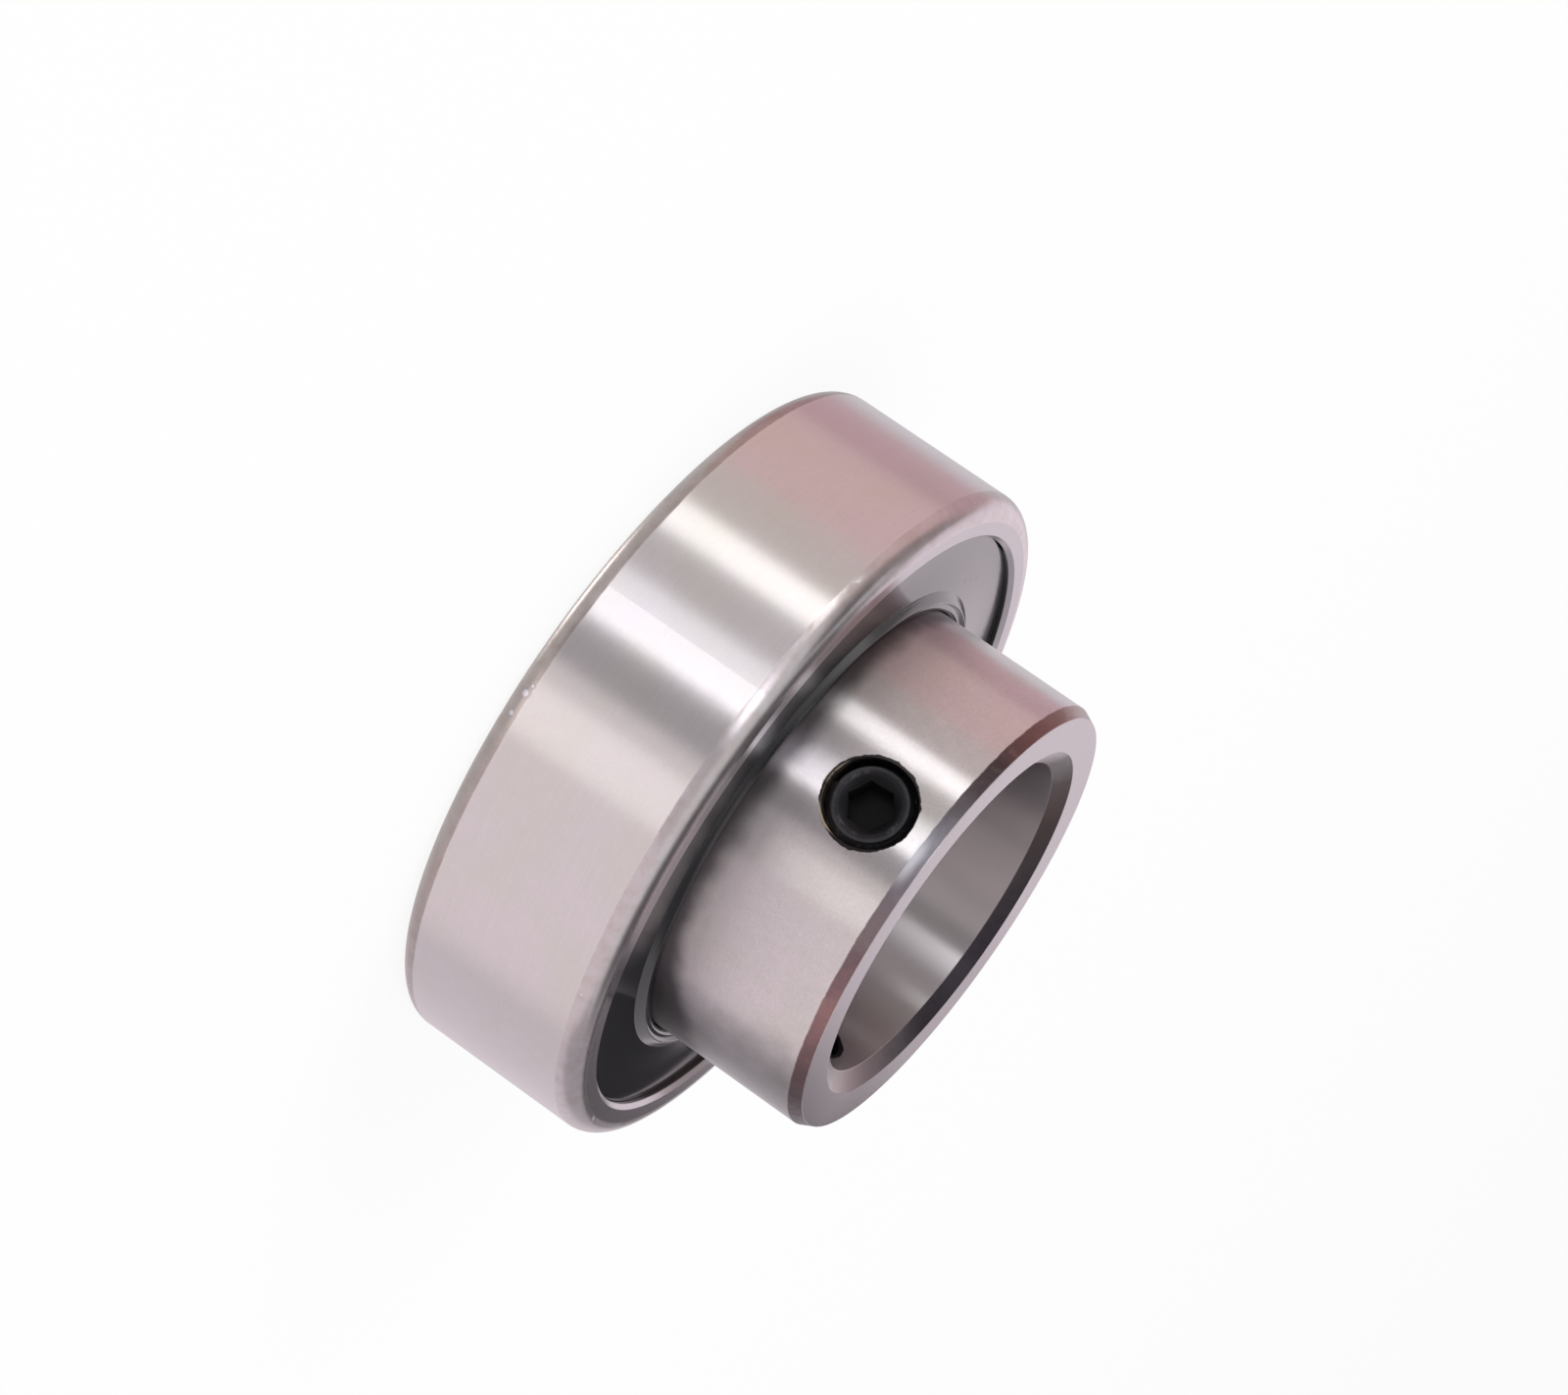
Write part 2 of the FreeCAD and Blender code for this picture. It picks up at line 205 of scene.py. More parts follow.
def dress(name, material):
    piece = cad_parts[name]
    if not piece.material_slots:
        piece.data.materials.append(material)
    for slot in piece.material_slots:
        slot.material = material


def linkShape(name, shape, material):
    mesh = bpy.data.meshes.new(name)
    shape.to_mesh(mesh)
    shape.free()
    mesh.materials.append(material)
    piece = bpy.data.objects.new(name, mesh)
    bpy.context.scene.collection.objects.link(piece)
    return piece


def newPiece(name, shape, material, body, sharp):  # an edge past sharp degrees stays crisp
    bmesh.ops.scale(shape, verts=shape.verts, vec=(millimetre, millimetre, millimetre))
    bmesh.ops.recalc_face_normals(shape, faces=shape.faces)
    for face in shape.faces:
        face.smooth = True
    piece = linkShape(name, shape, material)
    piece.data.set_sharp_from_angle(angle=math.radians(sharp))
    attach(piece, body)
    return piece


# outer ring: finely ground outside, unground brownish rims with the far rim darker as painted
# shade, ground narrow face, painted shadow on the recess wall beside the seal

outerRing = {
    "groundColor": (0.615, 0.575, 0.59),
    "groundWarm": (0.60, 0.57, 0.555),
    "nearRim": (0.52, 0.485, 0.50),
    "nearBrown": (0.45, 0.395, 0.39),
    # the far rim: the near rim's colours made darker, painted shade
    "farRimShaded": (0.37, 0.325, 0.315),
    "farBrownShaded": (0.31, 0.265, 0.245),
    "faceColor": (0.55, 0.525, 0.545),
    # painted shadow: the recess wall beside the seal is near black and not metal
    "wallShadowColor": (0.02, 0.017, 0.017),
    "lines": (1.0, 3.0, 0.6),  # each noise: scale, detail, roughness
    "cloud": (0.16, 3.0, 0.55),
    "mottle": (0.9, 4.0, 0.65),
    "grain": (6.0, 2.0, 0.7),
    "warmCloud": (0.35, 0.7),  # each pair: where a blend starts and is full
    "brownPatch": (0.3, 0.8),
    "linesShine": (0.94, 1.06),
    "grainShine": (0.945, 1.055),
    "mottleShine": (0.965, 1.035),
    "rimHeight": (6.05, 6.17),
    "rimRadius": (24.4, 24.6),
    "rimWobble": 0.12,
    "faceHeight": (7.12, 7.26),
    "wallHeight": (5.0, 5.1),
    "wallRadius": (23.27, 23.33),
    "sideHeight": (-1.0, 1.0),
    "groundRough": (0.27, 0.33),
    "rimRough": 0.29,
    "faceRough": 0.23,
    "wallRough": 0.12,
    "faceEdgeTint": (0.75, 0.75, 0.75),
    "plainStretch": 0.35,  # of the highlight, where nothing is ground in hoops
    "bump": (0.25, 0.00001),  # strength, depth in metres
    "chips": (  # degrees round the bearing, radius, height, reach
        (19.3, 25.9, -6.4, 0.30), (22.8, 25.95, -6.55, 0.24), (17.9, 25.9, -6.2, 0.16),
    ),
    "dots": (
        (53.8, 26.0, 6.36, 0.13), (53.0, 24.7, 7.5, 0.12), (47.0, 25.6, 7.0, 0.07),
        (-38.0, 25.6, 7.0, 0.08), (61.0, 25.7, 6.9, 0.07),
    ),
    "chipLight": (0.80, 0.77, 0.82),
    "chipShare": 0.45,
    "chipDark": (0.30, 0.27, 0.30),
    "chipDarkShare": 0.6,
    "chipDarkReach": 1.9,  # of the chip's own reach
}


def nearSpots(tree, at, spots):  # 1 at small marks: degrees, radius, height and reach
    marks = 0.0
    for degrees, radius, height, reach in spots:
        turn = math.radians(degrees)
        spot = (radius * math.cos(turn), radius * math.sin(turn), height)
        away = distance(tree, at["place"], spot)
        marks = either(tree, marks, fall(tree, away, reach * markCore, reach))
    return marks


def makeOuterSteel(look):
    material, tree = startMaterial("outerRingSteel")
    at = ringPlaces(tree)
    height = calc(tree, "ABSOLUTE", at["z"])
    lines = noise(tree, at["lines"], *look["lines"])
    cloud = noise(tree, at["place"], *look["cloud"])
    mottle = noise(tree, at["place"], *look["mottle"])
    grain = noise(tree, at["place"], *look["grain"])

    wobble = calc(tree, "MULTIPLY_ADD", mottle, look["rimWobble"], height)
    outside = rise(tree, at["radius"], *look["rimRadius"])
    rim = both(tree, rise(tree, wobble, *look["rimHeight"]), outside)
    inside = fall(tree, at["radius"], *look["rimRadius"])
    face = both(tree, rise(tree, height, *look["faceHeight"]), inside)
    recess = fall(tree, at["radius"], *look["wallRadius"])
    wall = both(tree, recess, band(tree, height, *look["wallHeight"], *look["faceHeight"]))

    patch = rise(tree, mottle, *look["brownPatch"])
    nearTone = blendColor(tree, patch, rgba(look["nearRim"]), rgba(look["nearBrown"]))
    # the far rim's darker tone is painted shade
    farShadedTone = blendColor(tree, patch, rgba(look["farRimShaded"]), rgba(look["farBrownShaded"]))
    rimTone = blendColor(tree, rise(tree, at["z"], *look["sideHeight"]), farShadedTone, nearTone)
    color = groundTone(tree, look, lines, cloud, grain, mottle)
    color = blendColor(tree, rim, color, rimTone)
    color = blendColor(tree, face, color, rgba(look["faceColor"]))
    # painted shadow on the recess wall
    color = blendColor(tree, wall, color, rgba(look["wallShadowColor"]))

    wide = [(*spot, reach * look["chipDarkReach"]) for *spot, reach in look["chips"]]
    chipEdge = both(tree, nearSpots(tree, at, wide), look["chipDarkShare"])
    color = blendColor(tree, chipEdge, color, rgba(look["chipDark"]))
    chip = both(tree, nearSpots(tree, at, look["chips"] + look["dots"]), look["chipShare"])
    color = blendColor(tree, chip, color, rgba(look["chipLight"]))

    rough = blendNumber(tree, rim, spread(tree, lines, *look["groundRough"]), look["rimRough"])
    rough = blendNumber(tree, face, rough, look["faceRough"])
    rough = blendNumber(tree, wall, rough, look["wallRough"])
    plain = either(tree, rim, face)
    finishPrincipled(tree, {
        "Base Color": color,
        "Metallic": calc(tree, "SUBTRACT", 1.0, wall),
        "Roughness": rough,
        "Specular Tint": blendColor(tree, face, plainWhite, rgba(look["faceEdgeTint"])),
        "Anisotropic": blendNumber(tree, plain, 1.0, look["plainStretch"]),
        "Anisotropic Rotation": highlightTurn,
        "Tangent": at["tangent"],
        "Normal": bumpNormal(tree, blendNumber(tree, rim, lines, mottle), *look["bump"]),
    })
    return material


dress("outer_ring", makeOuterSteel(outerRing))
print("stage 2: outer ring finished")

# inner ring: ground collar, grainy beside the seal with a dark band of painted shade, heat-tinted
# end chamfer with painted shade and reflection, painted shade on one side of the collar, on the
# end face and in the screw holes

innerRing = {
    "groundColor": (0.615, 0.575, 0.59),
    "groundWarm": (0.59, 0.56, 0.545),
    "lines": (1.0, 3.0, 0.6),  # each noise: scale, detail, roughness
    "cloud": (0.16, 3.0, 0.55),
    "mottle": (1.1, 4.0, 0.65),
    "grain": (5.5, 2.0, 0.7),
    "warmCloud": (0.35, 0.7),  # each pair: where a blend starts and is full
    "linesShine": (0.94, 1.06),
    "grainShine": (0.86, 1.14),
    "mottleShine": (0.93, 1.07),
    "collarRadius": (16.9, 16.95),
    "collarHeight": (7.0, 7.1),
    "grainyHeight": (8.0, 12.5),
    "grainDark": (0.22, 0.195, 0.20),
    "pitGrain": (0.5, 0.75),
    "pitShare": 0.5,
    "sealShadeColor": (0.11, 0.10, 0.107),  # painted shade: a dark band on the collar beside the seal
    "sealShadeHeight": (8.8, 10.5),
    "sealShadeShare": 0.9,
    "bandWobble": 3.0,
    "sealShadeSide": (55.0, 88.0, 120.0, 160.0),  # degrees: starts, full, fades, ends
    "sealShadeRise": 2.6,  # how much higher the painted shade band reaches there
    # painted shade: the collar darker between 57 and 165 degrees round the bearing
    "shadedSide": (57.0, 78.0, 125.0, 165.0),
    "shadedSideShare": 0.66,
    "shadedSideWobble": 0.3,
    "chamferHeight": (18.53, 18.66),
    "chamferRadius": (16.54, 16.58),
    "edgeWobble": 0.22,
    "tintNoise": (0.5, 5.0, 0.7),
    "tintWobble": 0.5,
    "tintAndShadeAlong": (  # degrees round the bearing, colour: heat tint, partly painted shade and reflection
        (-180.0, (0.26, 0.20, 0.20)), (-100.0, (0.45, 0.41, 0.40)),
        (-72.0, (0.42, 0.37, 0.36)), (-55.0, (0.25, 0.165, 0.15)),
        (-40.0, (0.18, 0.10, 0.098)), (-24.0, (0.095, 0.068, 0.075)),
        (-9.0, (0.13, 0.115, 0.125)), (0.0, (0.20, 0.19, 0.22)),
        (10.0, (0.19, 0.165, 0.19)), (22.0, (0.21, 0.165, 0.175)),
        (32.0, (0.16, 0.11, 0.12)), (45.0, (0.27, 0.155, 0.155)),
        (60.0, (0.18, 0.115, 0.115)), (80.0, (0.075, 0.05, 0.056)),
        (100.0, (0.05, 0.04, 0.042)), (180.0, (0.26, 0.20, 0.20)),
    ),
    "tintFleck": (0.34, 0.26, 0.22),
    "fleckMottle": (0.52, 0.72),
    "fleckShare": 0.25,
    # a light patch on the chamfer near 0 degrees: partly wear, partly painted highlight
    "wearAndSheenColor": (0.52, 0.51, 0.54),
    "wearSheenTurn": (-3.0, 4.0, 6.0, 14.0),
    "wearSheenHeight": (18.3, 18.6, 18.75, 19.35),
    "wearSheenMottle": (0.5, 1.1),
    "faceHeight": (19.47, 19.5),
    "faceColor": (0.53, 0.505, 0.52),
    # painted shade: the end face darker towards 158 degrees
    "faceShade": 0.72,
    "faceShadeTurn": 158.0,
    "faceShadeReach": (0.65, 0.95),  # cosine of the angle from the middle of the painted shade
    "faceEdgeTint": (0.75, 0.75, 0.75),
    "mouthHeight": (18.68, 18.74),
    "mouthRadius": (13.82, 13.88),
    "mouthHalf": 13.0,
    "mouthMiddle": 0.42,
    "mouthWobble": 0.16,
    "mouthShadeAlong": (  # share of the bore across, colour: painted shade and reflection, darker towards -x
        (0.0, (0.08, 0.07, 0.085)), (0.12, (0.13, 0.11, 0.115)),
        (0.25, (0.14, 0.105, 0.10)), (0.41, (0.155, 0.12, 0.115)),
        (0.50, (0.28, 0.25, 0.25)), (0.60, (0.40, 0.37, 0.375)),
        (0.85, (0.44, 0.42, 0.43)),
    ),
    "boreRadius": (12.55, 12.6),
    "boreColor": (0.52, 0.487, 0.492),
    "screwTurns": (0.0, 120.0),
    "screwHeight": 14.15,
    # painted shade: the screw holes' walls nearly black
    "holeShadeColor": (0.03, 0.026, 0.026),
    "holeRadius": (3.26, 3.32),
    "holeWobble": (0.92, 1.05),
    # painted light: a brassy lit crescent on one side of the thread
    "holeThreadLight": (0.46, 0.38, 0.30),
    "threadLightSide": (-0.82, 0.586),  # along the bearing's axis, across the hole: the side where painted light falls on the thread
    "threadLightReach": (0.35, 0.75),
    "threadLightMottle": (0.25, 0.5),
    "ridgePitch": 0.25,
    "ridgeShare": (-0.9, 0.1),
    "ridgeRadius": (2.985, 3.01),
    "groundRough": (0.28, 0.34),
    "grainyRough": (0.32, 0.4),
    "chamferRough": (0.3, 0.5),
    "faceRough": 0.24,
    "plainStretch": 0.35,
    "bump": (0.3, 0.000008),
}


def holeDistance(tree, at, angle, height):  # how far from one hole's axis, and which way
    turn = math.radians(angle)
    ahead, aside = math.cos(turn), math.sin(turn)
    along = total(tree, both(tree, at["x"], ahead), both(tree, at["y"], aside))
    side = calc(tree, "SUBTRACT", both(tree, at["y"], ahead), both(tree, at["x"], aside))
    up = calc(tree, "SUBTRACT", at["z"], height)
    away = calc(tree, "SQRT", total(tree, both(tree, side, side), both(tree, up, up)))
    behind = both(tree, calc(tree, "LESS_THAN", along, 0.0), farSide)
    return total(tree, away, behind), along, up, side


def collarTones(tree, look, color, collar, turn, sealEdge, cloud, pits):
    color = blendColor(tree, both(tree, pits, look["pitShare"]), color, rgba(look["grainDark"]))
    # painted shade on the collar beside the seal
    sealShade = both(tree, collar, fall(tree, sealEdge, *look["sealShadeHeight"]))
    sealShade = both(tree, sealShade, look["sealShadeShare"])
    color = blendColor(tree, sealShade, color, rgba(look["sealShadeColor"]))
    # painted shade on one side of the collar
    sideShade = arc(tree, swing(tree, cloud, look["shadedSideWobble"], turn), look["shadedSide"])
    sideShade = both(tree, both(tree, collar, sideShade), look["shadedSideShare"])
    return brighten(tree, spread(tree, sideShade, 1.0, 0.0), color)


def faceTone(tree, at, look):
    # the end face, with painted shade towards one side
    turn = math.radians(look["faceShadeTurn"])
    toward = total(tree, both(tree, at["x"], math.cos(turn)), both(tree, at["y"], math.sin(turn)))
    stainAndShade = rise(tree, calc(tree, "DIVIDE", toward, at["radius"]), *look["faceShadeReach"])
    return brighten(tree, spread(tree, stainAndShade, 1.0, look["faceShade"]), rgba(look["faceColor"]))


# painted shade and reflection across the bore's mouth chamfer, dark on the -x side
def mouthShadeTone(tree, at, look, mottle):
    middle = calc(tree, "MULTIPLY_ADD", mottle, look["mouthWobble"], look["mouthMiddle"])
    across = calc(tree, "MULTIPLY_ADD", at["x"], 0.5 / look["mouthHalf"], middle)
    return colorRamp(tree, across, look["mouthShadeAlong"])


# the end chamfer: heat tint, partly painted shade and reflection, changing round the bearing
def chamferTone(tree, at, look, turn, mottle):
    drift = swing(tree, noise(tree, at["place"], *look["tintNoise"]), look["tintWobble"], turn)
    share = calc(tree, "MULTIPLY_ADD", drift, 0.5 / math.pi, 0.5)
    stops = [(0.5 + degrees / 360, tone) for degrees, tone in look["tintAndShadeAlong"]]
    fleck = both(tree, rise(tree, mottle, *look["fleckMottle"]), look["fleckShare"])
    return blendColor(tree, fleck, colorRamp(tree, share, stops), rgba(look["tintFleck"]))


def holeMasks(tree, at, look, mottle):  # the screw holes, painted dark as shade, and the brassy thread in them, painted lighter on one side
    hole = 0.0
    threadLight = 0.0
    for angle in look["screwTurns"]:
        away, along, up, side = holeDistance(tree, at, angle, look["screwHeight"])
        rough = both(tree, away, spread(tree, mottle, *look["holeWobble"]))
        inside = fall(tree, rough, *look["holeRadius"])
        ridge = calc(tree, "SINE", both(tree, along, 2 * math.pi / look["ridgePitch"]))
        rising, aside = look["threadLightSide"]
        lower = total(tree, both(tree, up, rising), both(tree, side, aside))
        lower = rise(tree, calc(tree, "DIVIDE", lower, away), *look["threadLightReach"])
        thread = both(tree, inside, rise(tree, ridge, *look["ridgeShare"]))
        thread = both(tree, thread, rise(tree, away, *look["ridgeRadius"]))
        hole = either(tree, hole, inside)
        threadLight = either(tree, threadLight, both(tree, thread, lower))
    return hole, both(tree, threadLight, rise(tree, mottle, *look["threadLightMottle"]))


def makeInnerSteel(look):
    material, tree = startMaterial("innerRingSteel")
    at = ringPlaces(tree)
    lines = noise(tree, at["lines"], *look["lines"])
    cloud = noise(tree, at["place"], *look["cloud"])
    mottle = noise(tree, at["place"], *look["mottle"])
    grain = noise(tree, at["place"], *look["grain"])
    turn = calc(tree, "ARCTAN2", at["y"], at["x"])

    collar = both(
        tree, rise(tree, at["radius"], *look["collarRadius"]),
        rise(tree, at["z"], *look["collarHeight"]),
    )
    sealEdge = calc(tree, "MULTIPLY_ADD", cloud, look["bandWobble"], at["z"])
    higher = arc(tree, turn, look["sealShadeSide"])
    sealEdge = calc(tree, "MULTIPLY_ADD", higher, -look["sealShadeRise"], sealEdge)
    grainy = both(tree, collar, fall(tree, sealEdge, *look["grainyHeight"]))
    edge = swing(tree, mottle, look["edgeWobble"], at["z"])
    outside = rise(tree, at["radius"], *look["chamferRadius"])
    inside = fall(tree, at["radius"], *look["chamferRadius"])
    chamfer = both(tree, rise(tree, edge, *look["chamferHeight"]), outside)
    endFace = both(tree, rise(tree, at["z"], *look["faceHeight"]), inside)
    aboveMouth = rise(tree, at["z"], *look["mouthHeight"])
    mouth = both(tree, aboveMouth, fall(tree, at["radius"], *look["mouthRadius"]))
    belowMouth = fall(tree, at["z"], *look["mouthHeight"])
    bore = both(tree, fall(tree, at["radius"], *look["boreRadius"]), belowMouth)
    hole, threadLight = holeMasks(tree, at, look, mottle)
    # light chamfer patch: wear and painted highlight
    wearAndSheen = both(tree, arc(tree, turn, look["wearSheenTurn"]), band(tree, edge, *look["wearSheenHeight"]))
    wearAndSheen = both(tree, wearAndSheen, spread(tree, mottle, *look["wearSheenMottle"]))
    wearAndSheen = both(tree, wearAndSheen, outside)

    color = groundTone(tree, look, lines, cloud, grain, mottle)
    pits = both(tree, grainy, rise(tree, grain, *look["pitGrain"]))
    color = collarTones(tree, look, color, collar, turn, sealEdge, cloud, pits)
    color = blendColor(tree, bore, color, rgba(look["boreColor"]))
    color = blendColor(tree, endFace, color, faceTone(tree, at, look))
    color = blendColor(tree, mouth, color, mouthShadeTone(tree, at, look, mottle))
    color = blendColor(tree, chamfer, color, chamferTone(tree, at, look, turn, mottle))
    color = blendColor(tree, wearAndSheen, color, rgba(look["wearAndSheenColor"]))
    color = blendColor(tree, hole, color, rgba(look["holeShadeColor"]))
    color = blendColor(tree, threadLight, color, rgba(look["holeThreadLight"]))

    rough = spread(tree, lines, *look["groundRough"])
    rough = blendNumber(tree, grainy, rough, spread(tree, grain, *look["grainyRough"]))
    rough = blendNumber(tree, chamfer, rough, spread(tree, mottle, *look["chamferRough"]))
    rough = blendNumber(tree, endFace, rough, look["faceRough"])
    plain = either(tree, either(tree, chamfer, endFace), hole)
    height = blendNumber(tree, either(tree, plain, collar), lines, grain)
    finishPrincipled(tree, {
        "Base Color": color,
        "Metallic": 1.0,
        "Roughness": rough,
        "Specular Tint": blendColor(tree, endFace, plainWhite, rgba(look["faceEdgeTint"])),
        "Anisotropic": spread(tree, plain, 1.0, look["plainStretch"]),
        "Anisotropic Rotation": highlightTurn,
        "Tangent": at["tangent"],
        "Normal": bumpNormal(tree, height, *look["bump"]),
    })
    return material


dress("inner_ring", makeInnerSteel(innerRing))
print("stage 3: inner ring finished")

# seals: smooth black rubber, two moulded ridges at the collar, a little dust and rubbing

seal = {
    "floor": 5.5,
    "inside": 17.06,
    "undercut": 17.55,
    "lipFoot": 6.4,
    "snap": ((23.46, 6.31), (23.06, 6.56), (23.05, 6.9), (22.9, 6.9)),
    "lip": (  # distance from the axis, height
        (18.56, 6.9), (18.54, 6.905), (18.49, 6.96), (18.40, 7.01), (18.35, 7.045),
        (17.98, 7.325), (17.91, 7.36), (17.84, 7.36), (17.78, 7.32), (17.71, 7.18),
        (17.67, 7.165), (17.58, 7.19), (17.49, 7.215), (17.41, 7.22), (17.32, 7.205),
        (17.22, 7.15), (17.14, 7.06), (17.08, 6.95),
    ),
    "steps": 240,
    "weld": 0.0005,
    "sharp": 50.0,
    "color": (0.009, 0.009, 0.0105),
    "dustColor": (0.16, 0.15, 0.15),
    "dust": (3.2, 4.0, 0.75),  # each noise: scale, detail, roughness
    "dustSpecks": (0.70, 0.76),
    "dustShare": 0.7,
    "smear": (0.25, 3.0, 0.6),
    "smearRough": (0.075, 0.165),
    "dustRough": 0.4,
    "lipRough": 0.17,
    "lipRadius": (18.5, 18.6),
    "ior": 1.8,
    "bumpNoise": (1.4, 3.0, 0.6),
    "bump": (0.2, 0.00001),
    "scuffs": (  # degrees round the bearing, radius, height, reach
        (-76.0, 19.65, 6.9, 0.34), (-79.0, 20.0, 6.9, 0.34),
        (-82.0, 20.4, 6.9, 0.28), (-72.0, 19.3, 6.9, 0.25),
    ),
    "scuffShare": 0.35,
}


def makeSealShape(look, side):  # side is 1 for the front and -1 for the back
    corners = [(look["undercut"], look["floor"]), (look["snap"][0][0], look["floor"])]
    corners += [*look["snap"], *look["lip"], (look["inside"], look["lipFoot"])]
    shape = bmesh.new()
    chain = [shape.verts.new((across, 0, along * side)) for across, along in corners]
    outline = [shape.edges.new(pair) for pair in zip(chain, chain[1:] + chain[:1])]
    bmesh.ops.spin(
        shape, geom=chain + outline, cent=(0, 0, 0), axis=(0, 0, 1), dvec=(0, 0, 0),
        angle=2 * math.pi, steps=look["steps"], use_merge=True, use_duplicate=False,
    )
    bmesh.ops.remove_doubles(shape, verts=shape.verts, dist=look["weld"])
    return shape


def makeRubber(look):
    material, tree = startMaterial("sealRubber")
    at = ringPlaces(tree)
    smear = noise(tree, at["lines"], *look["smear"])
    dust = noise(tree, at["place"], *look["dust"])
    specks = rise(tree, dust, *look["dustSpecks"])
    dusty = both(tree, specks, look["dustShare"])
    rough = blendNumber(tree, specks, spread(tree, smear, *look["smearRough"]), look["dustRough"])
    scuffed = both(tree, nearSpots(tree, at, look["scuffs"]), look["scuffShare"])
    rough = blendNumber(tree, scuffed, rough, look["dustRough"])
    lip = fall(tree, at["radius"], *look["lipRadius"])
    height = noise(tree, at["place"], *look["bumpNoise"])
    finishPrincipled(tree, {
        "Base Color": blendColor(tree, dusty, rgba(look["color"]), rgba(look["dustColor"])),
        "Roughness": blendNumber(tree, lip, rough, look["lipRough"]),
        "IOR": look["ior"],
        "Normal": bumpNormal(tree, height, *look["bump"]),
    })
    return material


rubber = makeRubber(seal)
for name, side in (("front_seal", 1), ("back_seal", -1)):
    dress(name, rubber)
    shape = makeSealShape(seal, side)
    moulded = newPiece(f"{name}_moulded", shape, rubber, "outer", seal["sharp"])
    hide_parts(name)
print("stage 4: seals finished")

# set screws: black oxide, hexagon socket with a turned lead-in, threaded outside

setScrew = {
    "height": 14.15,
    "turns": {"set_screw_1": 0.0, "set_screw_2": 120.0},
    "bodies": {"set_screw_1": "screw_1", "set_screw_2": "screw_2"},
    "sides": 72,
    "sharp": 35.0,
    "faceEnd": 16.55,
    "leadRadius": 2.12,
    "leadSlope": 0.6,
    "keySize": 3.0,
    "keyTurn": 34.0,
    "keyCuts": 11,
    "socketFloor": 14.55,
    "outside": (  # distance from the bearing's axis, radius
        (16.55, 2.58), (16.46, 2.66), (13.16, 2.66), (12.55, 2.05), (12.55, 1.5),
    ),
    "cupFloor": 13.15,
    "pitch": 0.75,
    "crest": 2.95,
    "ridgeSection": ((2.5, -0.33), (2.95, -0.05), (2.95, 0.05), (2.5, 0.33)),
    "threadStart": 12.95,
    "threadTurns": 4.5,
    "threadSteps": 48,  # in one turn
    "outerChamfer": (2.67, 0.93),  # radius at the face, slope
    "pointChamfer": (2.05, 12.55),  # radius at the point, the point's height
    "color": (0.020, 0.019, 0.021),
    "wearAndSheenColor": (0.06, 0.057, 0.062),
    # painted shade: the socket's depth, near black
    "deepShadeColor": (0.006, 0.0055, 0.006),
    "patch": (1.6, 4.0, 0.65),  # each noise: scale, detail, roughness
    "fine": (9.0, 2.0, 0.6),
    "wornPatch": (0.5, 0.75),
    "wornRing": (2.2, 2.5, 2.58, 2.7),
    "socketRadius": (2.05, 2.15),
    "socketHeight": (16.5, 16.54),
    "deepRadius": (1.6, 2.1),
    "leadDepth": 0.6,
    "metallic": 0.6,
    "specular": 0.08,
    "rough": (0.28, 0.44),
    "bump": (0.3, 0.00001),
}


def isVert(part):
    return isinstance(part, bmesh.types.BMVert)


def carryLoop(shape, edges, radius, rings):  # carries a round loop through height and radius
    for height, nextRadius in rings:
        made = bmesh.ops.extrude_edge_only(shape, edges=edges)["geom"]
        corners = [part for part in made if isVert(part)]
        lines = [part for part in made if isinstance(part, bmesh.types.BMEdge)]
        edges = [line for line in lines if all(end in corners for end in line.verts)]
        factor = nextRadius / radius
        bmesh.ops.scale(shape, verts=corners, vec=(factor, factor, 1))
        bmesh.ops.translate(shape, verts=corners, vec=(0, 0, height - corners[0].co.z))
        radius = nextRadius
    return edges


def addSocket(shape, look):  # the hexagon and the face round it, returns the face's outer edge
    rim = bmesh.ops.create_circle(
        shape, cap_ends=False, segments=look["sides"], radius=look["leadRadius"]
    )["verts"]
    bmesh.ops.translate(shape, verts=rim, vec=(0, 0, look["faceEnd"]))
    rimEdges = list(shape.edges)
    key = bmesh.ops.create_circle(
        shape, cap_ends=False, segments=6, radius=look["keySize"] / math.sqrt(3)
    )["verts"]
    turned = Matrix.Rotation(math.radians(look["keyTurn"]), 3, "Z")
    bmesh.ops.rotate(shape, verts=key, cent=(0, 0, 0), matrix=turned)
    keyEdges = [edge for edge in shape.edges if edge not in rimEdges]
    bmesh.ops.subdivide_edges(shape, edges=keyEdges, cuts=look["keyCuts"])
    keyEdges = [edge for edge in shape.edges if edge not in rimEdges]
    for corner in {end for edge in keyEdges for end in edge.verts}:
        depth = (look["leadRadius"] - corner.co.xy.length) * look["leadSlope"]
        corner.co.z = look["faceEnd"] - depth
    bmesh.ops.bridge_loops(shape, edges=rimEdges + keyEdges)
    made = bmesh.ops.extrude_edge_only(shape, edges=keyEdges)["geom"]
    deep = [part for part in made if isVert(part)]
    for corner in deep:
        corner.co.z = look["socketFloor"]
    bmesh.ops.contextual_create(shape, geom=deep)
    return rimEdges


